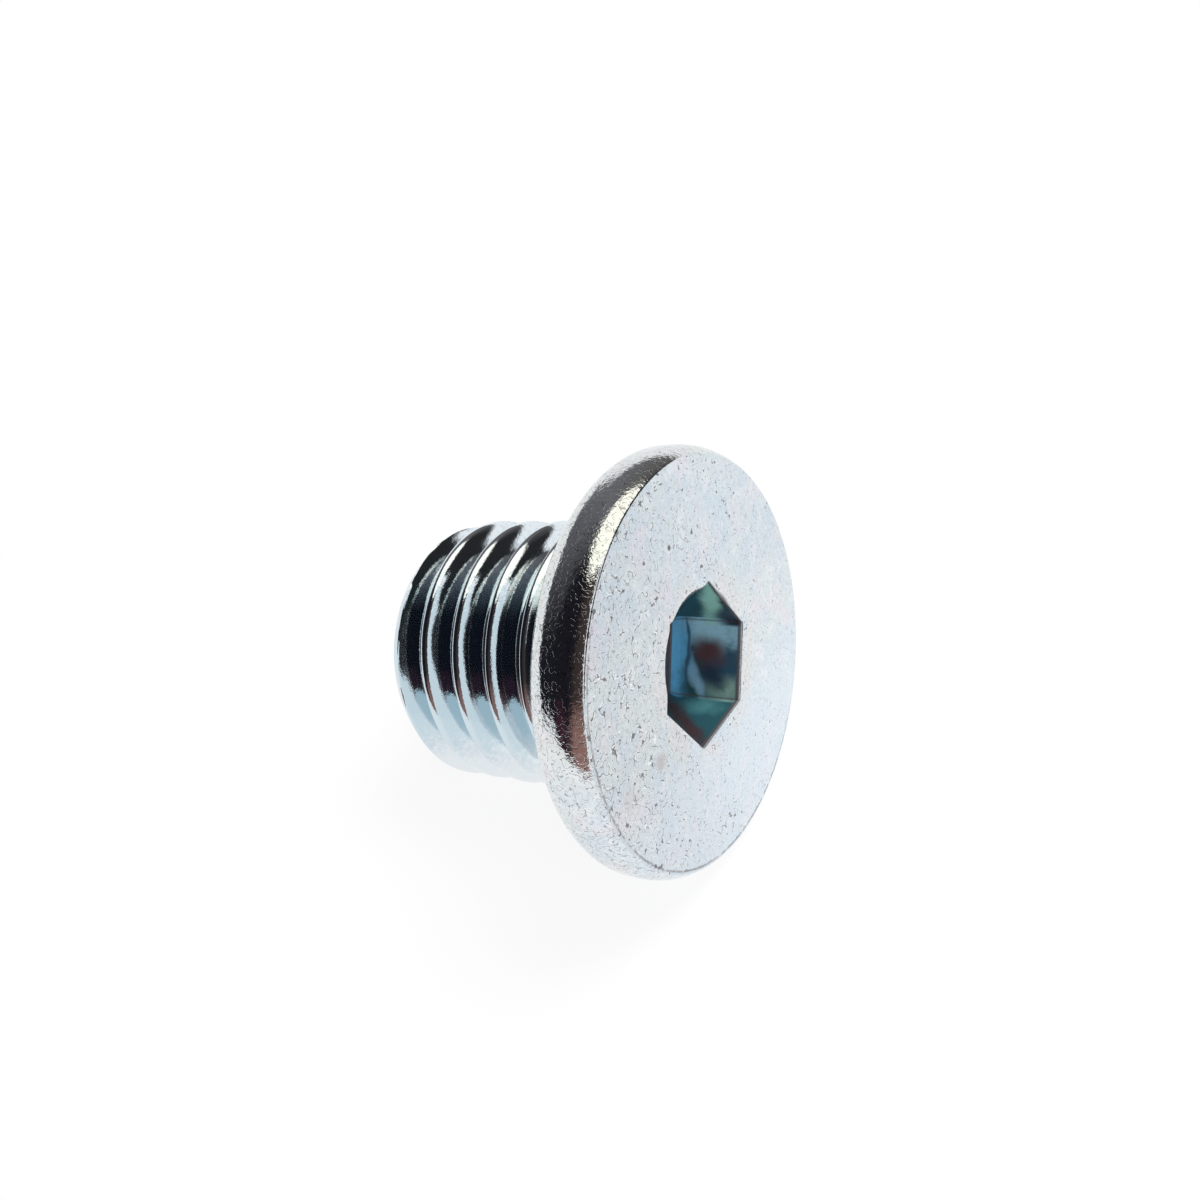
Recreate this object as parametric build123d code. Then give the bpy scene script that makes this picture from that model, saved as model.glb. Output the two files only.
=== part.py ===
# Countersunk socket screw, one solid, lying as it comes to rest on its rim and its last thread.
# The screw is drawn upright on its own axis, with the flat face of its head at height 0 and the
# shank below, and is then laid down. The origin is under the middle of the lying screw, on the
# surface that carries it. All lengths are in millimetres and all angles in degrees.
import os
from math import asin, atan2, ceil, cos, degrees, hypot, radians, sin, tan

from build123d import *

# Head
face_diameter = 14.4
head_diameter = 15.1
rim_depth = 0.96
rim_land = 0.36
rim_back_radius = 0.94
face_edge_radius = 0.12
seat_angle = 120.0

# Hexagon socket, with the off-centre lead-in that the punch left at its mouth
socket_across_flats = 5.0
socket_depth = 2.8
socket_turn = 31.0
mouth_diameter = 5.1
mouth_offset = 0.25
mouth_turn = 195.0
mouth_depth = 0.3

# Shank and right-hand thread
overall_length = 10.5
end_diameter = 9.3
end_chamfer = 0.6
thread_diameter = 10.0
thread_pitch = 1.5
thread_angle = 60.0
crest_width = 0.38
root_width = 0.16
first_crest = 0.87

# Sizes that follow from the ones above
head_radius = head_diameter / 2
thread_radius = thread_diameter / 2
thread_depth = (thread_pitch - crest_width - root_width) / (2 * tan(radians(thread_angle / 2)))
land_end = rim_depth + rim_land
seat_slope = radians(seat_angle / 2)
seat_radius = head_radius - rim_back_radius * (1 - cos(seat_slope))
seat_start = land_end + rim_back_radius * sin(seat_slope)


def head():
    # Flat face, bulged rim whose widest circle is a short land, rounded back and conical seat.
    seat_end = seat_start + seat_radius / tan(seat_slope)
    back_middle = seat_slope / 2
    with BuildSketch(Plane.XZ) as section:
        with BuildLine():
            Line((0, 0), (face_diameter / 2, 0))
            TangentArc((head_radius, -rim_depth), (face_diameter / 2, 0), tangent=(0, 1))
            Line((head_radius, -rim_depth), (head_radius, -land_end))
            ThreePointArc(
                (head_radius, -land_end),
                (
                    head_radius - rim_back_radius * (1 - cos(back_middle)),
                    -land_end - rim_back_radius * sin(back_middle),
                ),
                (seat_radius, -seat_start),
            )
            Line((seat_radius, -seat_start), (0, -seat_end))
            Line((0, -seat_end), (0, 0))
        make_face()
    solid = revolve(section.sketch, Axis.Z)
    face_edge = solid.edges().filter_by(GeomType.CIRCLE).sort_by(Axis.Z)[-1]
    return fillet(face_edge, face_edge_radius)


def shank():
    # Plain bar with a chamfered end. It runs up inside the head, which closes its upper end.
    bar_top = -rim_depth
    with BuildSketch(Plane.XZ) as section:
        Polygon(
            (0, bar_top),
            (thread_radius, bar_top),
            (thread_radius, end_chamfer - overall_length),
            (end_diameter / 2, -overall_length),
            (0, -overall_length),
            align=None,
        )
    return revolve(section.sketch, Axis.Z)


def thread_groove():
    # One turn of a V groove with a narrow flat root, repeated from below the end into the head.
    clear = thread_depth / 4
    outer_half = (thread_pitch - crest_width) / 2 + clear * tan(radians(thread_angle / 2))
    root_radius = thread_radius - thread_depth
    start = first_crest - overall_length - 1.5 * thread_pitch
    turns = ceil((-land_end - start) / thread_pitch)
    path = Helix(pitch=thread_pitch, height=thread_pitch, radius=root_radius, center=(0, 0, start))
    with BuildSketch(Plane.XZ) as section:
        Polygon(
            (root_radius, start - root_width / 2),
            (root_radius, start + root_width / 2),
            (thread_radius + clear, start + outer_half),
            (thread_radius + clear, start - outer_half),
            align=None,
        )
    turn = sweep(section.sketch, path=path, is_frenet=True)
    return [Pos(0, 0, number * thread_pitch) * turn for number in range(turns)]


def socket():
    # Hexagonal hole with a flat floor, and the shallow cone of the lead-in to one side of it.
    with BuildSketch() as mouth_plane:
        RegularPolygon(socket_across_flats / 2, 6, major_radius=False, rotation=socket_turn)
    hole = extrude(mouth_plane.sketch, -socket_depth)
    lead_in = Cone(mouth_diameter / 2 - mouth_depth, mouth_diameter / 2, mouth_depth)
    side = radians(mouth_turn)
    centre = (mouth_offset * cos(side), mouth_offset * sin(side), -mouth_depth / 2)
    return hole + Pos(*centre) * lead_in


def lay_down(solid):
    # The line under the lying screw touches the round back of the rim and the edge of the last
    # full crest.
    last_crest_edge = max(first_crest - crest_width / 2, end_chamfer)
    along = overall_length - last_crest_edge - land_end
    across = head_radius - rim_back_radius - thread_radius
    reach = hypot(along, across)
    tilt = degrees(atan2(across, along) + asin(rim_back_radius / reach))
    lying = Rot(0, 90 - tilt, 0) * solid
    box = lying.bounding_box()
    middle = box.center()
    return Pos(-middle.X, -middle.Y, -box.min.Z) * lying


screw = head() + (shank() - thread_groove()) - socket()
screw = lay_down(screw)

os.makedirs("parts", exist_ok=True)
export_step(screw, "parts/socket_screw.step")
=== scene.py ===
from math import asin, atan2, cos, hypot, pi, radians, sin, sqrt, tan

import bmesh
import bpy
import numpy as np
from mathutils import Matrix, Vector


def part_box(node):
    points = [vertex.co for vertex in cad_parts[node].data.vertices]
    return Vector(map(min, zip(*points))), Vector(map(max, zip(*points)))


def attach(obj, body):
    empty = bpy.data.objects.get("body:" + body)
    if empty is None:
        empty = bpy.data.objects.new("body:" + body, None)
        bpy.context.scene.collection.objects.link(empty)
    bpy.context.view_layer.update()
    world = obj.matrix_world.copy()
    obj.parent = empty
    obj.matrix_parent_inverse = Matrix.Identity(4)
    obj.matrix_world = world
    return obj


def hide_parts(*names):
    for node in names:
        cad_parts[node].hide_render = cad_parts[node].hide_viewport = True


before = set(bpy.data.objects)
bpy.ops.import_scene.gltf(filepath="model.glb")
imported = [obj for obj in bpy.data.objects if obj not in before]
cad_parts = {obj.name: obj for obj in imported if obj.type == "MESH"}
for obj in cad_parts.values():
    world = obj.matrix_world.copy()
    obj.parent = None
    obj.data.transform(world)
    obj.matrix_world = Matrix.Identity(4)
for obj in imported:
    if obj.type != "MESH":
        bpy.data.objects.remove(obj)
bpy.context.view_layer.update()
millimetre = 0.001
print("frame loaded")


# Sizes in millimetres and degrees. The screw is worked out upright on its own axis, with the
# flat face of its head at height 0 and the shank below, and is then laid down.
screw = {
    "faceRadius": 7.2,
    "headRadius": 7.55,
    "rimDepth": 0.96,
    "rimLand": 0.36,
    "rimBackRadius": 0.94,
    "edgeRadius": 0.09,
    "seatSlope": 60.0,
    "seatFillet": 0.1,
    "length": 10.5,
    "endRadius": 4.65,
    "endChamfer": 0.6,
    "threadRadius": 5.0,
    "pitch": 1.5,
    "flankSlope": 30.0,
    "crestWidth": 0.38,
    "rootWidth": 0.16,
    "firstCrest": 0.87,
    "neckWidening": 0.25,   # how much wider than the thread the head's cone starts
    "aroundSteps": 240,
    "coneRings": 8,
    "backRings": 14,
    "frontRings": 20,
    "edgeRings": 8,
    "endRings": (1, 0.985, 0.95, 0.87, 0.72, 0.5, 0.25, 0),     # shares of the end's radius
    "mergeDistance": 0.0002,
    "sharpAngle": 32.0,
}
thread = {
    "edgeBlend": 0.13,      # rounding of the crest's edge on the side of the screw's end
    "bevelStart": -0.07,    # bevel between the crest and the flank that faces the head
    "bevelSlope": (38.0, 47.0),     # at no bevel and at the full one
    "bevelWidth": 0.29,
    "bevelBlend": 0.10,
    # height, and the share of the full bevel there
    "bevelShare": ((-9.5, 0.0), (-9.0, 0.72), (-7.3, 0.82), (-5.6, 1.0)),
    # height of a crest, and what its side towards the head lacks: the last crest is narrower
    "narrowing": ((-10.0, 0.14), (-9.3, 0.0)),
    "rootBlend": 0.12,
    "seamWidth": 0.03,      # furrow where the rolled crest closed up
    "seamDepth": 0.003,
    "seamPlace": -0.12,
    # rows of the grid over one pitch, as from, to and number: root, far flank, crest, bevel and
    # near flank
    "rows": (
        (-0.75, -0.62, 3), (-0.62, -0.27, 4), (-0.27, 0.02, 17), (0.02, 0.28, 9), (0.28, 0.75, 8),
    ),
}
socket = {
    "acrossFlats": 5.0,
    "depth": 3.0,           # the punch's dish in the floor makes it look deeper than the part's
    "turn": 31.0,
    "mouthRadius": 2.55,
    "mouthOffset": 0.25,
    "mouthTurn": 195.0,
    "mouthDepth": 0.3,
    "lipRadius": 0.13,
    "floorFillet": 0.06,
    "taper": 0.12,
    "taperFrom": 2.6,
    "creaseBlend": 0.03,
    "leadInStep": 0.001,    # height of the row that ends the lead-in
    "wallFrom": 0.5,        # depth of the first row below it
    "taperGap": 0.02,       # rows stand this far to both sides of where the taper starts
    "wallRows": (4, 6, 3),  # along the lead-in, the straight wall and the taper
    "faceRings": 15,
    "lipRings": 7,
    "filletRings": 6,
    "floorRings": (0.7, 0.4, 0.15, 0),      # shares of the floor's radius
}

lastCrestEdge = max(screw["firstCrest"] - screw["crestWidth"] / 2, screw["endChamfer"])
landEnd = screw["rimDepth"] + screw["rimLand"]
restAlong = screw["length"] - lastCrestEdge - landEnd
restAcross = screw["headRadius"] - screw["rimBackRadius"] - screw["threadRadius"]
restReach = hypot(restAlong, restAcross)
tilt = atan2(restAcross, restAlong) + asin(screw["rimBackRadius"] / restReach)
axis = np.array([cos(tilt), 0, sin(tilt)])          # along the screw, towards its head
downAcross = np.array([sin(tilt), 0, -cos(tilt)])   # across the screw, towards the floor
sideAcross = np.array([0, 1.0, 0])
boxLow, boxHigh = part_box("socket_screw")
faceCentre = np.array([
    boxLow[0] / millimetre + screw["endRadius"] * sin(tilt) + screw["length"] * cos(tilt),
    (boxLow[1] + boxHigh[1]) / 2 / millimetre,
    boxLow[2] / millimetre + (screw["headRadius"] - screw["rimBackRadius"]) * cos(tilt)
    + landEnd * sin(tilt) + screw["rimBackRadius"],
])


def layDown(radius, angle, height):
    # centre of the face, plus radius along the direction of the angle, plus height along the axis
    spread = radius * np.cos(angle)
    sideways = radius * np.sin(angle)
    point = faceCentre + spread[..., None] * downAcross + sideways[..., None] * sideAcross
    return (point + height[..., None] * axis) * millimetre


def smoothMin(first, second, blend):
    # the lower of two heights, rounded off by a parabola where they are within blend
    near = np.maximum(blend - np.abs(first - second), 0) / blend
    return np.minimum(first, second) - near * near * blend / 4


def smoothMax(first, second, blend):
    return -smoothMin(-first, -second, blend)


def threadProfile(offset, bevel, narrowing):
    # radius over the distance from the middle of a crest: flat crest, a flank on each side and a
    # flat root, joined by parabolas, with a bevel before the flank that faces the head and a
    # bell-shaped furrow along the crest
    steep = 1 / tan(radians(screw["flankSlope"]))
    gentle = 1 / np.tan(np.radians(np.interp(bevel, (0, 1), thread["bevelSlope"])))
    top = screw["threadRadius"]
    edge = screw["crestWidth"] / 2
    bevelStart = edge - narrowing + (thread["bevelStart"] - edge) * bevel
    bevelEnd = bevelStart + thread["bevelWidth"] * bevel
    farFlank = top + (offset + edge) * steep
    bevelLine = top - (offset - bevelStart) * gentle
    nearFlank = top - thread["bevelWidth"] * bevel * gentle - (offset - bevelEnd) * steep
    radius = smoothMin(np.full_like(offset, top), farFlank, thread["edgeBlend"])
    radius = smoothMin(radius, bevelLine, thread["bevelBlend"])
    radius = smoothMin(radius, nearFlank, thread["bevelBlend"])
    flankWidth = (screw["pitch"] - screw["crestWidth"] - screw["rootWidth"]) / 2
    root = top - flankWidth * steep
    radius = smoothMax(radius, np.full_like(offset, root), thread["rootBlend"])
    seam = np.exp(-((offset - thread["seamPlace"]) / thread["seamWidth"]) ** 2)
    return radius - thread["seamDepth"] * seam


def crestOffset(angle, height):
    # distance along the axis from the nearest crest; the crests follow a right-hand helix
    helix = screw["firstCrest"] - screw["length"] + screw["pitch"] * angle / (2 * pi)
    return (height - helix + screw["pitch"] / 2) % screw["pitch"] - screw["pitch"] / 2


def shankRadius(angle, height):
    # the larger of the thread and the head's cone, cut off by the chamfer of the end
    rise = 1 / tan(radians(screw["seatSlope"]))
    cone = seatRadius + (height + seatStart) / rise
    offset = crestOffset(angle, height)
    bevel = np.interp(height, *zip(*thread["bevelShare"]))
    narrowing = np.interp(height - offset, *zip(*thread["narrowing"]))
    turns = threadProfile(offset, bevel, narrowing)
    radius = smoothMax(turns, cone, screw["seatFillet"])
    slope = (screw["threadRadius"] - screw["endRadius"]) / screw["endChamfer"]
    return np.minimum(radius, screw["endRadius"] + (height + screw["length"]) * slope)


seatTurn = radians(screw["seatSlope"])
seatRadius = screw["headRadius"] - screw["rimBackRadius"] * (1 - cos(seatTurn))
seatStart = landEnd + screw["rimBackRadius"] * sin(seatTurn)
neckStep = seatRadius - screw["threadRadius"] - screw["neckWidening"]
shankTop = seatStart + neckStep * (1 / tan(seatTurn))


def shankGrid(around):
    # rows follow the helix, so that crests stay sharp: height = row + pitch * angle / turn, held
    # between the end and the seat; radius from the thread
    onePitch = np.concatenate([np.linspace(*part, endpoint=False) for part in thread["rows"]])
    firstTurn = screw["firstCrest"] - screw["length"] - 2 * screw["pitch"]
    turns = int((screw["length"] - shankTop) / screw["pitch"]) + 4
    rows = np.concatenate([onePitch + firstTurn + turn * screw["pitch"] for turn in range(turns)])
    angle = np.broadcast_to(around, (len(rows), len(around)))
    height = rows[:, None] + screw["pitch"] * angle / (2 * pi)
    height = np.clip(height, -screw["length"], -shankTop)
    return shankRadius(angle, height), angle, height


def endGrid(around):
    # rings that shrink from the rim of the end face to its middle
    shares = np.array(screw["endRings"])
    angle = np.broadcast_to(around, (len(shares), len(around)))
    height = np.full(angle.shape, -screw["length"])
    return shankRadius(angle, height) * shares[:, None], angle, height


def headGrid(around):
    # a profile turned round the axis: cone, rounded back, land, bulged front, rounded edge
    back = np.linspace(seatTurn, 0, screw["backRings"])
    backRadius = screw["headRadius"] - screw["rimBackRadius"] * (1 - np.cos(back))
    backHeight = -landEnd - screw["rimBackRadius"] * np.sin(back)
    proud = screw["headRadius"] - screw["faceRadius"]
    frontRadius = (proud**2 + screw["rimDepth"] ** 2) / (2 * proud)
    frontMiddle = screw["headRadius"] - frontRadius
    # the rounded edge touches the face and the inside of the front bulge
    edge = screw["edgeRadius"]
    edgeMiddle = frontMiddle + sqrt((frontRadius - edge) ** 2 - (screw["rimDepth"] - edge) ** 2)
    edgeTurn = atan2(screw["rimDepth"] - edge, edgeMiddle - frontMiddle)
    front = np.linspace(0, edgeTurn, screw["frontRings"])
    corner = np.linspace(edgeTurn, pi / 2, screw["edgeRings"])[1:]
    cone = np.linspace(-shankTop, -seatStart, screw["coneRings"])[:-1]
    coneRadius = seatRadius + (cone + seatStart) * tan(seatTurn)
    radius = np.concatenate([
        coneRadius, backRadius, frontMiddle + frontRadius * np.cos(front),
        edgeMiddle + edge * np.cos(corner),
    ])
    height = np.concatenate([
        cone, backHeight, -screw["rimDepth"] + frontRadius * np.sin(front),
        -edge + edge * np.sin(corner),
    ])
    angle = np.broadcast_to(around, (len(radius), len(around)))
    ones = np.ones(len(around))
    return radius[:, None] * ones, angle, height[:, None] * ones, edgeMiddle


def wallRadius(angle, height):
    # the larger of the hexagon and the off-centre cone of the lead-in, in polar form
    sixth = pi / 3
    fromCorner = (angle - radians(socket["turn"])) % sixth
    hexagon = socket["acrossFlats"] / 2 / np.cos(fromCorner - sixth / 2)
    cone = np.maximum(socket["mouthRadius"] + np.maximum(height, -socket["mouthDepth"]), 0)
    away = angle - radians(socket["mouthTurn"])
    offset = socket["mouthOffset"]
    circle = offset * np.cos(away) + np.sqrt(cone**2 - (offset * np.sin(away)) ** 2)
    circle = np.where(height < -socket["mouthDepth"], 0, circle)
    share = np.clip((-socket["taperFrom"] - height) / (socket["depth"] - socket["taperFrom"]), 0, 1)
    hexagon = hexagon * (1 - share * socket["taper"] / socket["acrossFlats"] * 2)
    return smoothMax(hexagon, circle, socket["creaseBlend"])


def socketGrid(around, faceEdge):
    # face rings drawn in to the mouth, a quarter-round lip, the wall, a fillet and the floor
    lip, fillet, depth = socket["lipRadius"], socket["floorFillet"], socket["depth"]
    lipTurn = np.linspace(pi / 2, 0, socket["lipRings"])
    filletTurn = np.linspace(0, pi / 2, socket["filletRings"])
    leadInRows, straightRows, taperRows = socket["wallRows"]
    taper, gap = socket["taperFrom"], socket["taperGap"]
    wall = np.concatenate([
        np.linspace(-lip, -socket["mouthDepth"], leadInRows)[1:],
        [-socket["mouthDepth"] - socket["leadInStep"]],
        np.linspace(-socket["wallFrom"], -taper + gap, straightRows),
        np.linspace(-taper - gap, -depth + fillet, taperRows),
    ])
    rings = np.linspace(1, 0, socket["faceRings"])[:-1]
    floorShares = np.array(socket["floorRings"])
    heights = np.concatenate([
        -lip + lip * np.sin(lipTurn), wall[:-1], -depth + fillet - fillet * np.sin(filletTurn),
    ])
    extra = np.concatenate([
        lip - lip * np.cos(lipTurn),
        np.zeros(len(wall) - 1),
        -fillet + fillet * np.cos(filletTurn),
    ])
    angle = np.broadcast_to(around, (len(heights), len(around)))
    inner = wallRadius(angle, heights[:, None] + 0 * angle) + extra[:, None]
    face = inner[0] + rings[:, None] * (faceEdge - inner[0])
    floor = inner[-1] * floorShares[:, None]
    radius = np.concatenate([face, inner, floor])
    height = np.concatenate([np.zeros(len(rings)), heights, np.full(len(floorShares), -depth)])
    angle = np.broadcast_to(around, radius.shape)
    return radius, angle, height[:, None] + 0 * angle


def gridFaces(rows, columns, first):
    # corner numbers of the quads between neighbouring rows and columns
    corner = first + np.arange(rows * columns).reshape(rows, columns)
    quads = np.stack([corner[:-1, :-1], corner[:-1, 1:], corner[1:, 1:], corner[1:, :-1]], -1)
    return quads.reshape(-1, 4)


def buildScrew():
    steps = screw["aroundSteps"]
    around = radians(socket["turn"]) + np.linspace(0, 2 * pi, steps + 1)
    headRadius, headAngle, headHeight, faceEdge = headGrid(around)
    grids = [
        shankGrid(around),
        endGrid(around),
        (headRadius, headAngle, headHeight),
        socketGrid(around, faceEdge),
    ]
    points, quads, first = [], [], 0
    for radius, angle, height in grids:
        rows, columns = radius.shape
        points.append(layDown(radius, angle, height).reshape(-1, 3))
        quads.append(gridFaces(rows, columns, first))
        first += rows * columns
    mesh = bpy.data.meshes.new("screw")
    mesh.from_pydata(np.concatenate(points), [], np.concatenate(quads))
    shell = bmesh.new()
    shell.from_mesh(mesh)
    # merging closes the seam of each grid, its poles and the joints between grids
    together = screw["mergeDistance"] * millimetre
    bmesh.ops.remove_doubles(shell, verts=shell.verts, dist=together)
    bmesh.ops.recalc_face_normals(shell, faces=shell.faces)
    shell.to_mesh(mesh)
    shell.free()
    mesh.shade_smooth()
    mesh.set_sharp_from_angle(angle=radians(screw["sharpAngle"]))
    piece = bpy.data.objects.new("screw", mesh)
    bpy.context.scene.collection.objects.link(piece)
    return piece


piece = buildScrew()
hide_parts("socket_screw")
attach(piece, "root")
print("screw built:", len(piece.data.polygons), "faces")


class Value:
    # one output socket; sums and products on it add Math nodes to its tree
    def __init__(self, tree, socket):
        self.tree, self.socket = tree, socket

    def maths(self, operation, *others):
        return self.tree.maths(operation, self, *others)

    def __add__(self, other): return self.maths("ADD", other)
    def __radd__(self, other): return self.tree.maths("ADD", other, self)
    def __sub__(self, other): return self.maths("SUBTRACT", other)
    def __rsub__(self, other): return self.tree.maths("SUBTRACT", other, self)
    def __mul__(self, other): return self.maths("MULTIPLY", other)
    def __rmul__(self, other): return self.tree.maths("MULTIPLY", other, self)
    def __truediv__(self, other): return self.maths("DIVIDE", other)
    def __rtruediv__(self, other): return self.tree.maths("DIVIDE", other, self)
    def __pow__(self, other): return self.maths("POWER", other)

    def step(self, low, high):
        # eased change from 0 to 1 while the value goes from low to high
        settings = {"interpolation_type": "SMOOTHSTEP"}
        values = {"Value": self, "From Min": low, "From Max": high}
        return self.tree.add("ShaderNodeMapRange", settings, values)


class Tree:
    # a node tree, with one method that adds a node and short ones for the common kinds
    def __init__(self, owner):
        owner.use_nodes = True
        self.nodes, self.links = owner.node_tree.nodes, owner.node_tree.links
        self.nodes.clear()

    def add(self, kind, settings=None, values=None, output=0):
        node = self.nodes.new(kind)
        for name, setting in (settings or {}).items():
            if name == "stops":
                self.setStops(node.color_ramp, setting)
            else:
                setattr(node, name, setting)
        for name, value in (values or {}).items():
            place = node.inputs[int(name) if name.isdigit() else name]
            if isinstance(value, Value):
                self.links.new(value.socket, place)
            else:
                place.default_value = value
        return Value(self, node.outputs[output] if len(node.outputs) else None)

    def outputs(self, kind, names, values=None):
        node = self.add(kind, None, values).socket.node
        return [Value(self, node.outputs[name]) for name in names]

    def maths(self, operation, *values):
        names = {str(place): value for place, value in enumerate(values)}
        return self.add("ShaderNodeMath", {"operation": operation}, names)

    def setStops(self, ramp, stops):
        for place, (position, colour) in enumerate(stops):
            stop = ramp.elements[place] if place < 2 else ramp.elements.new(position)
            stop.position, stop.color = position, (*colour, 1)

    def mix(self, share, first, second):
        first = first if isinstance(first, Value) else (*first, 1)
        second = second if isinstance(second, Value) else (*second, 1)
        values = {"0": share, "6": first, "7": second}
        return self.add("ShaderNodeMix", {"data_type": "RGBA"}, values, 2)

    def vector(self, operation, first, second, output=0):
        settings = {"operation": operation}
        return self.add("ShaderNodeVectorMath", settings, {"0": first, "1": second}, output)

    def noise(self, place, scale, detail=2.0, roughness=0.5):
        values = {"Vector": place, "Scale": scale, "Detail": detail, "Roughness": roughness}
        return self.add("ShaderNodeTexNoise", None, values)


# Zinc plate. Colours are shares of red, green and blue; sizes are in millimetres, on the upright
# screw. A pair of numbers is the stretch over which something fades in or out.
zinc = {
    "colour": (0.755, 0.82, 0.84),
    "blue": (0.71, 0.79, 0.86),
    "lilac": (0.825, 0.805, 0.86),
    "white": (0.86, 0.89, 0.91),
    # shift of the pattern, scale, roughness and levels of the blue, lilac and white clouds
    "clouds": (
        ((0, 0, 0), 0.6, 0.6, (0.40, 0.60)),
        ((9, 2, 4), 0.7, 0.6, (0.50, 0.64)),
        ((1, 6, 2), 1.1, 0.65, (0.52, 0.66)),
    ),
    "cloudShare": 0.8,
    "cleanColour": (0.76, 0.87, 0.98),      # the less marked part of the face
    "cleanShare": 0.4,
    "mouthTint": (0.80, 0.76, 0.765),
    "mouthShare": 0.5,
    "rimWarmReflection": (0.80, 0.80, 0.785),       # painted reflection: warmer tint on the side of the rim away from the floor
    "rimShare": 0.8,
    # the thread's own blue tint, darkened as painted shade of the dark room that its flanks mirror
    "threadColour": (0.54, 0.66, 0.725),
    # painted reflection, paler: the thread's crests, its side towards the floor and its uppermost
    # strip
    "paintedReflection": (0.80, 0.85, 0.885),
    "crestShare": 0.35,
    "sideShadeShare": 0.15,          # painted shade: darkening of one side of the face
    # heights, radii and places across that bound the zones of the surface
    "faceHeight": (-0.05, -0.01),
    "socketTop": (-0.1, -0.02),
    "socketBottom": (-6, -5),
    "socketRadius": (2.98, 3.1),
    "endHeight": (-10.48, -10.45),
    "threadHeight": (-3.3, -3.0),
    "crestRadius": (4.86, 4.97),
    "mouthRadius": (3.9, 3.0),
    "cleanAcross": (0.6, 4.0),
    "rimAcross": (3, -6),
    "floorAcross": (0.3, 2.6),
    "upperAcross": (-3.7, -4.6),
    "sideShadeSideways": (3.0, -6.0),
    "acrossWander": 3,          # unevenness of the pale parts of the thread
    "roughness": 0.07,
    "faceRoughness": 0.15,
    "grainSize": 0.15,
    "grainHeight": 0.0035,
    "rimGrainHeight": 0.011,
    "threadGrain": 0.6,         # share of the grain that the thread lacks
    "threadRelief": 0.004,
    # scale, detail and roughness of the mottle, and of the crowding of the strokes
    "mottle": (5.0, 3.0, 0.8),
    "crowding": (0.5, 3.0, 0.6),
    "crowdSpread": 0.5,
    "crowdMore": 0.015,
    "crowdSideways": 0.018,     # less per millimetre sideways
    "crowdClean": 0.08,         # less on the less marked part
    "speckleLevel": 0.42,
    "speckleShare": 0.7,
    "cleanSpeckle": 0.3,
    "scratchSize": 0.46,        # spacing of the bent lines of which short strokes show
    "scratchWidth": (0.09, 0.03),       # shares of that spacing, as are the two of the painted highlight beside a stroke
    "glintWidth": (0.08, 0.03),
    "glintShift": 0.13,
    "strokeScale": 1.9,
    "strokeFade": 0.05,
    "fineSize": 0.55,           # fine strokes: shares of the strong ones' size and crowding
    "fineCrowd": 0.6,
    "strongLevel": 0.58,
    "fineLevel": 0.46,
    # shares on the face, the rim and the end
    "strongShares": (0.9, 0, 0.5),
    "fineShares": (0.5, 0.65, 0.4),
    "fineGlintShares": (0.6, 0.4, 0),
    "scratchDepth": 0.0025,
    # colour of the scratches and pits, also used for the painted shade on one side of the face
    "scratchAndShadeColour": (0.15, 0.14, 0.145),
    # painted highlight: a lighter twin line beside each stroke
    "glintColour": (0.93, 0.94, 0.95),
    "glintShare": 0.7,
    "spotEdge": (1.3, 0.5),     # in radii of a spot
    # painted dark reflection: a broken dark line between the face and the rim, strongest on one
    # side
    "edgeLine": (0.20, 0.18, 0.18),
    "edgeLineShare": 0.7,
    "edgeLineRadius": 7.1,
    "edgeLineWander": 0.12,
    "edgeLineWidth": (0.015, 0.06),
    "edgeLineHeight": (-0.14, -0.08),
    "edgeLineBreaks": (2.5, 4.0, 0.7),      # scale, detail and roughness
    "edgeLineLevels": (0.34, 0.56),
    "edgeLineSide": (-2.0, 4.0),
    # film left in the socket
    "lining": (0.022, 0.09, 0.11),
    "liningRoughness": 0.28,
    "liningMetal": 0.1,
    "liningSpeckle": (9.0, 3.0, 0.7),       # scale, detail and roughness, as are the next two
    "patchWander": (1.5, 6.0, 0.7),
    "patchBend": (0.8, 2.0),
    "liningLevel": 0.45,
    "liningShare": 0.6,
    "wanderReach": 1.6,         # unevenness of the patches' edges
    "bendReach": 0.7,           # and of their height
    "patchEdge": (1.7, 0.3),    # in half sizes of a patch
    "patchWall": (2.3, 2.4),    # how far out a wall is, so that a patch stays on its own
    # colour of the film's speckles, and of the painted shade in the hexagon's corners and at the
    # mouth's edge
    "lipSpeckleAndShade": (0.10, 0.08, 0.085),
    "lipShare": 0.85,
    "lipLine": (-0.22, -0.16),
    "lipWander": 0.1,
    "cornerShare": 0.55,
    "cornerWidth": (0.022, 0.006),          # shares of a sixth of a turn
    # painted shade on the socket's floor
    "floorShade": (0.085, 0.07, 0.075),
    "floorLine": (0.04, 0.1),   # above the floor
}
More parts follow.
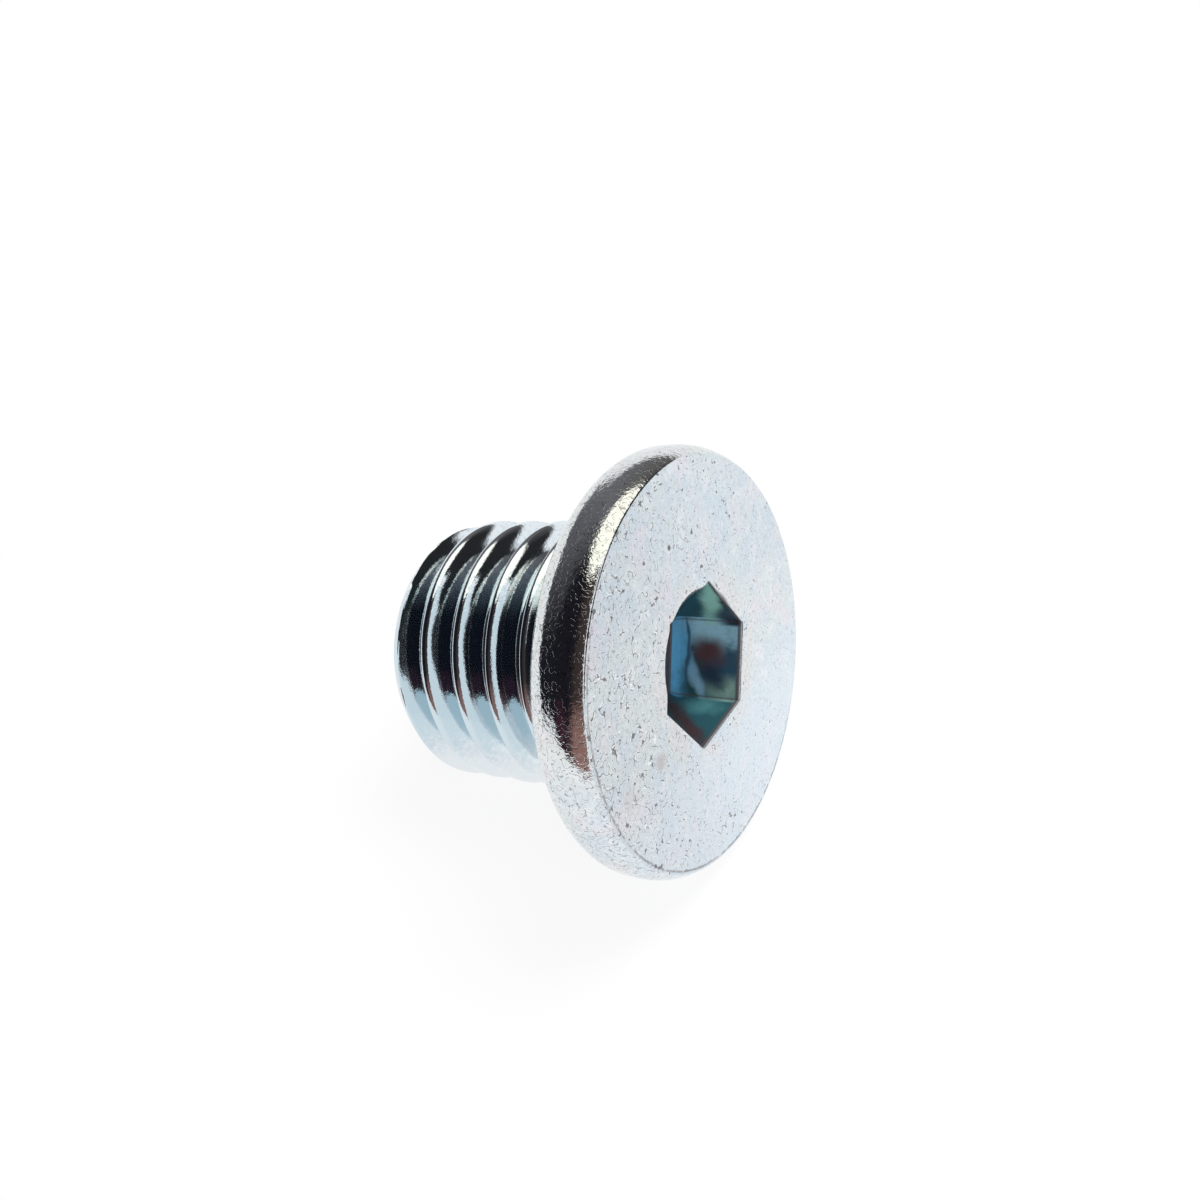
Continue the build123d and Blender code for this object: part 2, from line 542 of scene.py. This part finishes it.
# Patches in the socket, each a leaning ellipse on a wall: the film's own tints, with painted shade
# in the dark ones and painted reflections in the bright ones. Columns: direction of the wall,
# middle along the wall and along the axis, half sizes the same two ways, lean, colour
socketPatches = (
    (61, 0.1, -0.6, 1.1, 1.2, 0.0, (0.03, 0.085, 0.14)),
    (61, 1.25, -1.4, 0.75, 1.3, 0.0, (0.42, 0.76, 0.95)),
    (61, -1.15, -0.7, 0.45, 0.75, 0.0, (0.26, 0.42, 0.38)),
    (61, -0.75, -1.95, 0.85, 0.22, 0.46, (0.26, 0.50, 0.70)),
    (61, -0.6, -1.2, 0.55, 0.45, 0.4, (0.02, 0.045, 0.085)),
    (61, 0.25, -1.5, 0.48, 0.66, 0.15, (0.11, 0.055, 0.065)),
    (61, 0.0, -2.72, 1.9, 0.42, 0.0, (0.14, 0.50, 0.86)),
    (61, 0.1, -2.3, 1.9, 0.055, 0.06, (0.05, 0.14, 0.24)),
    (121, 0.0, -0.7, 1.8, 0.34, -0.38, (0.40, 0.80, 0.70)),
    (121, -1.2, -0.35, 0.60, 0.55, 0.0, (0.02, 0.04, 0.075)),
    (1, 0.9, -1.3, 0.45, 0.8, 0.0, (0.07, 0.23, 0.25)),
    (1, -0.2, -1.45, 1.5, 0.45, 1.19, (0.055, 0.035, 0.04)),
)
# Single spots on the face: place across and sideways, radius, colour, share
spots = (
    ((1.22, -3.97), 0.30, (0.45, 0.38, 0.36), 0.5),
    ((-4.80, -0.52), 0.10, (0.10, 0.10, 0.11), 0.9),
    ((-6.57, -2.95), 0.10, (0.12, 0.11, 0.12), 0.8),
    ((1.20, -5.98), 0.42, (0.62, 0.60, 0.60), 0.5),
)


def uprightPlace(tree):
    # object coordinates turned back to the upright screw, in millimetres
    turned = Matrix.Rotation(tilt - pi / 2, 3, "Y")
    shift = turned @ Vector(faceCentre)
    place = tree.add("ShaderNodeTexCoord", output=3)
    values = {
        "Vector": place,
        "Location": tuple(-shift),
        "Rotation": (0, tilt - pi / 2, 0),
        "Scale": (1 / millimetre,) * 3,
    }
    return tree.add("ShaderNodeMapping", {"vector_type": "POINT"}, values)


def scratches(tree, place, size, crowd, breaks):
    # level lines of a soft noise, broken up by a second one so that short strokes are left: the
    # stroke, and a painted highlight beside it
    level = tree.noise(place, 1 / size, 1.5) * 4
    line = level.maths("PINGPONG", 0.5).step(*zinc["scratchWidth"])
    # painted highlight: a lighter line beside the stroke
    paintedGlint = (level + zinc["glintShift"]).maths("PINGPONG", 0.5).step(*zinc["glintWidth"])
    shifted = tree.vector("ADD", place, (5, 1, 8))
    kept = tree.noise(shifted, zinc["strokeScale"] / size, 1.0) + crowd
    kept = kept.step(breaks, breaks + zinc["strokeFade"])
    return line * kept, paintedGlint * kept


def socketColour(tree, place, across, side, height):
    # each patch's share (film tint, painted shade or painted reflection) falls with the distance
    # from its middle in half sizes, made uneven
    wander = (tree.noise(place, *zinc["patchWander"]) - 0.5) * zinc["wanderReach"]
    bend = (tree.noise(place, *zinc["patchBend"]) - 0.5) * zinc["bendReach"]
    speckle = tree.noise(place, *zinc["liningSpeckle"])
    colour = zinc["lining"]
    for wall, along, up, halfAlong, halfUp, lean, tint in socketPatches:
        turn = radians(wall)
        outward = across * cos(turn) + side * sin(turn)
        sideways = side * cos(turn) - across * sin(turn) - along
        upwards = (height + bend - up + sideways * lean) / halfUp
        sideways = sideways / halfAlong
        share = (sideways * sideways + upwards * upwards) ** 0.5 + wander
        share = share.step(*zinc["patchEdge"]) * outward.step(*zinc["patchWall"])
        colour = tree.mix(share, colour, tint)
    speckle = (speckle - zinc["liningLevel"]) * zinc["liningShare"]
    colour = tree.mix(speckle, colour, zinc["lipSpeckleAndShade"])
    # painted shade: dark lines in the corners of the hexagon, a dark edge at the mouth and a dark
    # floor
    corner = (side.maths("ARCTAN2", across) - radians(socket["turn"])) / (pi / 3)
    corner = corner.maths("PINGPONG", 0.5).step(*zinc["cornerWidth"])
    lip = height.step(*[line - zinc["lipWander"] * wander for line in zinc["lipLine"]])
    floor = 1 - height.step(*[line - socket["depth"] for line in zinc["floorLine"]])
    edges = (
        (corner * zinc["cornerShare"], "lipSpeckleAndShade"),
        (lip * zinc["lipShare"], "lipSpeckleAndShade"),
        (floor, "floorShade"),
    )
    for share, tint in edges:
        colour = tree.mix(share, colour, zinc[tint])
    return colour


def inZones(zones, shares):
    # one value with a share of its own in each zone
    return sum(zone * share for zone, share in zip(zones, shares))


def zincMaterial():
    material = bpy.data.materials.new("zincPlate")
    tree = Tree(material)
    place = uprightPlace(tree)
    across, side, height = tree.outputs("ShaderNodeSeparateXYZ", "XYZ", {"Vector": place})
    radius = (across * across + side * side) ** 0.5
    onFace = height.step(*zinc["faceHeight"])
    inSocket = (1 - radius.step(*zinc["socketRadius"])) * (1 - height.step(*zinc["socketTop"]))
    inSocket = inSocket * height.step(*zinc["socketBottom"])
    onEnd = 1 - height.step(*zinc["endHeight"])
    onThread = (1 - height.step(*zinc["threadHeight"])) * (1 - inSocket) * (1 - onEnd)
    onCrest = radius.step(*zinc["crestRadius"]) * zinc["crestShare"]
    onRim = (1 - onFace) * (1 - inSocket) * (1 - onThread) * (1 - onEnd)
    zones = (onFace, onRim, onEnd)

    clean = across.step(*zinc["cleanAcross"]) * onFace      # low part of the face, less marked
    crowd = (tree.noise(place, *zinc["crowding"]) - 0.5) * zinc["crowdSpread"]
    crowd = crowd + zinc["crowdMore"] - zinc["crowdSideways"] * side - zinc["crowdClean"] * clean
    grain = tree.noise(place, 1 / zinc["grainSize"], 2.0, 0.6)
    mottle = tree.noise(place, *zinc["mottle"])
    size = zinc["scratchSize"]
    strong, paintedGlint = scratches(tree, place, size, crowd, zinc["strongLevel"])
    shifted = tree.vector("ADD", place, (3, 7, 5))
    fineSize, fineCrowd = size * zinc["fineSize"], crowd * zinc["fineCrowd"]
    fine, finePaintedGlint = scratches(tree, shifted, fineSize, fineCrowd, zinc["fineLevel"])
    fine = fine * inZones(zones, zinc["fineShares"])
    marks = (strong * inZones(zones, zinc["strongShares"])).maths("MAXIMUM", fine)
    finePaintedGlint = finePaintedGlint * inZones(zones, zinc["fineGlintShares"])
    paintedGlint = (paintedGlint * onFace).maths("MAXIMUM", finePaintedGlint)
    # painted dark reflection along the face's rounded edge
    paintedEdgeLine = radius - zinc["edgeLineRadius"] + (mottle - 0.5) * zinc["edgeLineWander"]
    paintedEdgeLine = 1 - paintedEdgeLine.maths("ABSOLUTE").step(*zinc["edgeLineWidth"])
    breaks = tree.noise(place, *zinc["edgeLineBreaks"]).step(*zinc["edgeLineLevels"])
    paintedEdgeLine = paintedEdgeLine * height.step(*zinc["edgeLineHeight"]) * breaks
    paintedEdgeLine = paintedEdgeLine * (across - side).step(*zinc["edgeLineSide"])

    blue, lilac, white = [
        tree.noise(tree.vector("ADD", place, shift), scale, 5.0, roughness).step(*levels)
        for shift, scale, roughness, levels in zinc["clouds"]
    ]
    colour = tree.mix(blue, zinc["colour"], zinc["blue"])
    colour = tree.mix(lilac * zinc["cloudShare"], colour, zinc["lilac"])
    colour = tree.mix(white * zinc["cloudShare"], colour, zinc["white"])
    colour = tree.mix(clean * zinc["cleanShare"], colour, zinc["cleanColour"])
    # painted reflection: warmer tint on the upper side of the rim
    upperRim = onRim * across.step(*zinc["rimAcross"]) * zinc["rimShare"]
    colour = tree.mix(upperRim, colour, zinc["rimWarmReflection"])
    mouth = radius.step(*zinc["mouthRadius"]) * zinc["mouthShare"] * onFace * (1 - blue)
    colour = tree.mix(mouth, colour, zinc["mouthTint"])
    # thread: its own tint darkened as painted shade, then painted reflections of the white floor
    # and backdrop on its crests, lower side and uppermost strip
    colour = tree.mix(onThread, colour, zinc["threadColour"])
    uneven = across + (mottle - 0.5) * zinc["acrossWander"]
    paintedPale = onCrest.maths("MAXIMUM", uneven.step(*zinc["floorAcross"]))
    paintedPale = paintedPale.maths("MAXIMUM", uneven.step(*zinc["upperAcross"]))
    colour = tree.mix(onThread * paintedPale, colour, zinc["paintedReflection"])
    speckled = zinc["speckleShare"] - zinc["cleanSpeckle"] * clean
    speckle = (mottle - zinc["speckleLevel"]) * speckled * (1 - onThread)
    colour = tree.mix(speckle, colour, zinc["scratchAndShadeColour"])
    # painted shade on one side of the face, in the dark colour of the scratches
    sideShade = side.step(*zinc["sideShadeSideways"]) * zinc["sideShadeShare"] * onFace
    colour = tree.mix(sideShade, colour, zinc["scratchAndShadeColour"])
    # painted highlight beside the strokes
    colour = tree.mix(paintedGlint * zinc["glintShare"], colour, zinc["glintColour"])
    colour = tree.mix(marks, colour, zinc["scratchAndShadeColour"])
    for (spotAcross, spotSide), reach, tint, share in spots:
        near = tree.vector("DISTANCE", place, (spotAcross, spotSide, 0), 1) / reach + mottle - 0.5
        colour = tree.mix(near.step(*zinc["spotEdge"]) * share, colour, tint)
    colour = tree.mix(paintedEdgeLine * zinc["edgeLineShare"], colour, zinc["edgeLine"])
    colour = tree.mix(inSocket, colour, socketColour(tree, place, across, side, height))
    relief = grain * (zinc["grainHeight"] + (zinc["rimGrainHeight"] - zinc["grainHeight"]) * onRim)
    relief = relief * (1 - zinc["threadGrain"] * onThread)
    relief = relief + mottle * zinc["threadRelief"] * onThread
    relief = relief - marks * zinc["scratchDepth"]
    bump = tree.add(
        "ShaderNodeBump", None, {"Height": relief, "Distance": millimetre, "Strength": 1.0},
    )
    roughness = zinc["roughness"] + (zinc["faceRoughness"] - zinc["roughness"]) * onFace
    shader = tree.add("ShaderNodeBsdfPrincipled", None, {
        "Base Color": colour,
        "Metallic": 1 - (1 - zinc["liningMetal"]) * inSocket,
        "Roughness": roughness + (zinc["liningRoughness"] - zinc["roughness"]) * inSocket,
        "Normal": bump,
    })
    tree.add("ShaderNodeOutputMaterial", None, {"Surface": shader})
    return material


piece.data.materials.append(zincMaterial())
print("material made")


# What the metal mirrors and what lights it; angles in degrees, lamps in metres and watts.
surroundings = {
    "white": (0.95, 0.97, 0.985),
    # azimuth, and the elevation up to which it is white there
    "horizon": (
        (-180, 28), (-162, 16), (-145, 0), (-130, -9), (-110, -20), (-90, -22), (-60, -19),
        (-53, -10), (-48, 46), (-35, 66), (-10, 76), (16, 76), (26, 60), (31, 36), (40, 29),
        (62, 29), (95, 22), (125, 19), (150, 20), (180, 28),
    ),
    # the horizon's ramp holds elevations as shares of this span above the lowest one
    "lowestElevation": -30.0,
    "elevationSpan": 90.0,
    "horizonSoftness": 0.02,    # share of the span
    # azimuth, and the colour of the dark room above that
    "room": (
        (-180, (0.10, 0.10, 0.115)), (-155, (0.05, 0.05, 0.055)), (-140, (0.012, 0.012, 0.018)),
        (-90, (0.012, 0.011, 0.016)), (-72, (0.045, 0.034, 0.032)), (-50, (0.065, 0.05, 0.047)),
        (0, (0.018, 0.022, 0.024)), (75, (0.022, 0.022, 0.024)), (100, (0.13, 0.125, 0.125)),
        (140, (0.16, 0.165, 0.18)), (180, (0.10, 0.10, 0.115)),
    ),
    "lamp": (1.32, 1.31, 1.17),     # bright oval overhead, which the metal mirrors
    "lampAzimuth": 85.0,
    # level shares of the direction to its middle, and its half sizes along and across that
    "lampMiddle": 0.165,
    "lampLong": 0.45,
    "lampWide": 0.32,
    "lampEdge": (1.15, 0.85),   # square of the distance from its middle, in half sizes
    "lampFoot": (0, 0.1),       # upward share below which it is gone
    # azimuth, elevation, radii within which it is full and beyond which it is gone, and colour
    "copper": (-62, -12, 12, 34, (0.30, 0.165, 0.145)),
    "maroon": (-106, -4, 5, 14, (0.05, 0.02, 0.032)),
    # dark patches, without a colour of their own
    "shades": ((14, 44, 12, 15.5), (-8, 28, 17, 21)),
    "floorRadius": 36.0,        # millimetres
    "floorRings": (0, 0.5, 1.0),
    "floorSteps": 96,
    "floorColour": (0.85, 0.85, 0.85, 1),
    "floorGlow": 0.9,           # share of plain white where it is seen directly or mirrored
    # place, diameter and power of the soft lamps
    "lamps": (((0.03, 0.06, 0.2), 0.12, 0.36), ((0.11, -0.11, 0.13), 0.1, 0.13)),
}


def direction(azimuth, elevation):
    azimuth, elevation = radians(azimuth), radians(elevation)
    level = cos(elevation)
    return (level * cos(azimuth), level * sin(azimuth), sin(elevation))


def seenDirectly(tree):
    # 1 for the camera and for what mirrors and glass show
    names = ("Is Camera Ray", "Is Glossy Ray", "Is Transmission Ray")
    byCamera, glossy, through = tree.outputs("ShaderNodeLightPath", names)
    return byCamera.maths("MAXIMUM", glossy).maths("MAXIMUM", through)


def patch(tree, aim, azimuth, elevation, inner, outer):
    # 1 within the inner angle of a direction, easing to 0 at the outer one
    near = tree.vector("DOT_PRODUCT", aim, direction(azimuth, elevation), 1)
    return near.step(cos(radians(outer)), cos(radians(inner)))


def makeWorld():
    world = bpy.data.worlds.new("surroundings")
    bpy.context.scene.world = world
    tree = Tree(world)
    aim = tree.add("ShaderNodeTexCoord")
    x, y, up = tree.outputs("ShaderNodeSeparateXYZ", "XYZ", {"Vector": aim})
    turn = y.maths("ARCTAN2", x) / (2 * pi) + 0.5
    lowest, span = surroundings["lowestElevation"], surroundings["elevationSpan"]
    heights = [
        ((azimuth + 180) / 360, ((part - lowest) / span,) * 3)
        for azimuth, part in surroundings["horizon"]
    ]
    rooms = [((azimuth + 180) / 360, colour) for azimuth, colour in surroundings["room"]]
    edge = tree.add("ShaderNodeValToRGB", {"stops": heights}, {"Fac": turn})
    room = tree.add("ShaderNodeValToRGB", {"stops": rooms}, {"Fac": turn})
    elevation = up.maths("ARCSINE") * (180 / pi)
    soft = surroundings["horizonSoftness"] * span
    darkness = (elevation - (edge * span + lowest)).step(-soft, soft)
    for name in ("copper", "maroon"):
        room = tree.mix(patch(tree, aim, *surroundings[name][:4]), room, surroundings[name][4])
    for shade in surroundings["shades"]:
        darkness = darkness.maths("MAXIMUM", patch(tree, aim, *shade))
    colour = tree.mix(darkness, surroundings["white"], room)
    long = tree.vector("DOT_PRODUCT", aim, direction(surroundings["lampAzimuth"], 0), 1)
    wide = tree.vector("DOT_PRODUCT", aim, direction(surroundings["lampAzimuth"] + 90, 0), 1)
    long = (long - surroundings["lampMiddle"]) / surroundings["lampLong"]
    wide = wide / surroundings["lampWide"]
    lamp = (long * long + wide * wide).step(*surroundings["lampEdge"])
    lamp = lamp * up.step(*surroundings["lampFoot"])
    colour = tree.mix(lamp, colour, surroundings["lamp"])
    byCamera, = tree.outputs("ShaderNodeLightPath", ("Is Camera Ray",))
    colour = tree.mix(byCamera, colour, (1, 1, 1))
    background = tree.add("ShaderNodeBackground", None, {"Color": colour, "Strength": 1.0})
    tree.add("ShaderNodeOutputWorld", None, {"Surface": background})


def makeFloor():
    # a round sheet: radius times the cosine and sine of the angle, ring by ring
    around = np.linspace(0, 2 * pi, surroundings["floorSteps"] + 1)
    rings = np.array(surroundings["floorRings"]) * surroundings["floorRadius"] * millimetre
    out = rings[:, None]
    points = np.stack([out * np.cos(around), out * np.sin(around), 0 * out * around], -1)
    mesh = bpy.data.meshes.new("floor")
    mesh.from_pydata(points.reshape(-1, 3), [], gridFaces(len(rings), len(around), 0))
    sheet = bpy.data.objects.new("floor", mesh)
    bpy.context.scene.collection.objects.link(sheet)
    material = bpy.data.materials.new("paleFloor")
    tree = Tree(material)
    matt = tree.add("ShaderNodeBsdfDiffuse", None, {"Color": surroundings["floorColour"]})
    glow = tree.add("ShaderNodeEmission", None, {"Color": (1, 1, 1, 1), "Strength": 1.0})
    share = seenDirectly(tree) * surroundings["floorGlow"]
    both = tree.add("ShaderNodeMixShader", None, {"0": share, "1": matt, "2": glow})
    tree.add("ShaderNodeOutputMaterial", None, {"Surface": both})
    mesh.materials.append(material)


def makeLamp(place, size, energy):
    # a soft round lamp aimed at the screw, which polished metal doesn't mirror
    light = bpy.data.lights.new("softLamp", "AREA")
    light.shape, light.size, light.energy = "DISK", size, energy
    lamp = bpy.data.objects.new("softLamp", light)
    lamp.location = place
    lamp.rotation_euler = (-Vector(place)).to_track_quat("-Z", "Y").to_euler()
    lamp.visible_glossy = False
    bpy.context.scene.collection.objects.link(lamp)


makeWorld()
makeFloor()
for place, size, energy in surroundings["lamps"]:
    makeLamp(place, size, energy)
print("floor and light made")


# Camera: place and sensor in millimetres, angles in degrees, clipping in metres; focus and centre
# are in the units of a picture that is 1200 square.
camera = {
    "place": (16.3998, -26.3343, 30.2613),
    "azimuth": -59.3062,
    "elevation": 37.4504,
    "roll": 0.107,
    "focus": 1055.8,
    "centre": (610.82, 649.84),
    "picture": 1200,
    "sensor": 36,
    "clip": (0.001, 10),
}


def makeCamera():
    backward = Vector(direction(camera["azimuth"], camera["elevation"]))
    right = (-backward).cross(Vector((0, 0, 1))).normalized()
    down = (-backward).cross(right)
    roll = radians(camera["roll"])
    right, down = cos(roll) * right + sin(roll) * down, cos(roll) * down - sin(roll) * right
    data = bpy.data.cameras.new("camera")
    data.sensor_width = camera["sensor"]
    data.lens = data.sensor_width * camera["focus"] / camera["picture"]
    middle = camera["picture"] / 2
    data.shift_x = (middle - camera["centre"][0]) / camera["picture"]
    data.shift_y = (camera["centre"][1] - middle) / camera["picture"]
    data.clip_start, data.clip_end = camera["clip"]
    holder = bpy.data.objects.new("camera", data)
    turn = Matrix((right, -down, backward)).transposed().to_4x4()
    holder.matrix_world = Matrix.Translation(Vector(camera["place"]) * millimetre) @ turn
    bpy.context.scene.collection.objects.link(holder)
    bpy.context.scene.camera = holder


makeCamera()
bpy.context.scene.view_settings.view_transform = "Standard"
print("camera set")
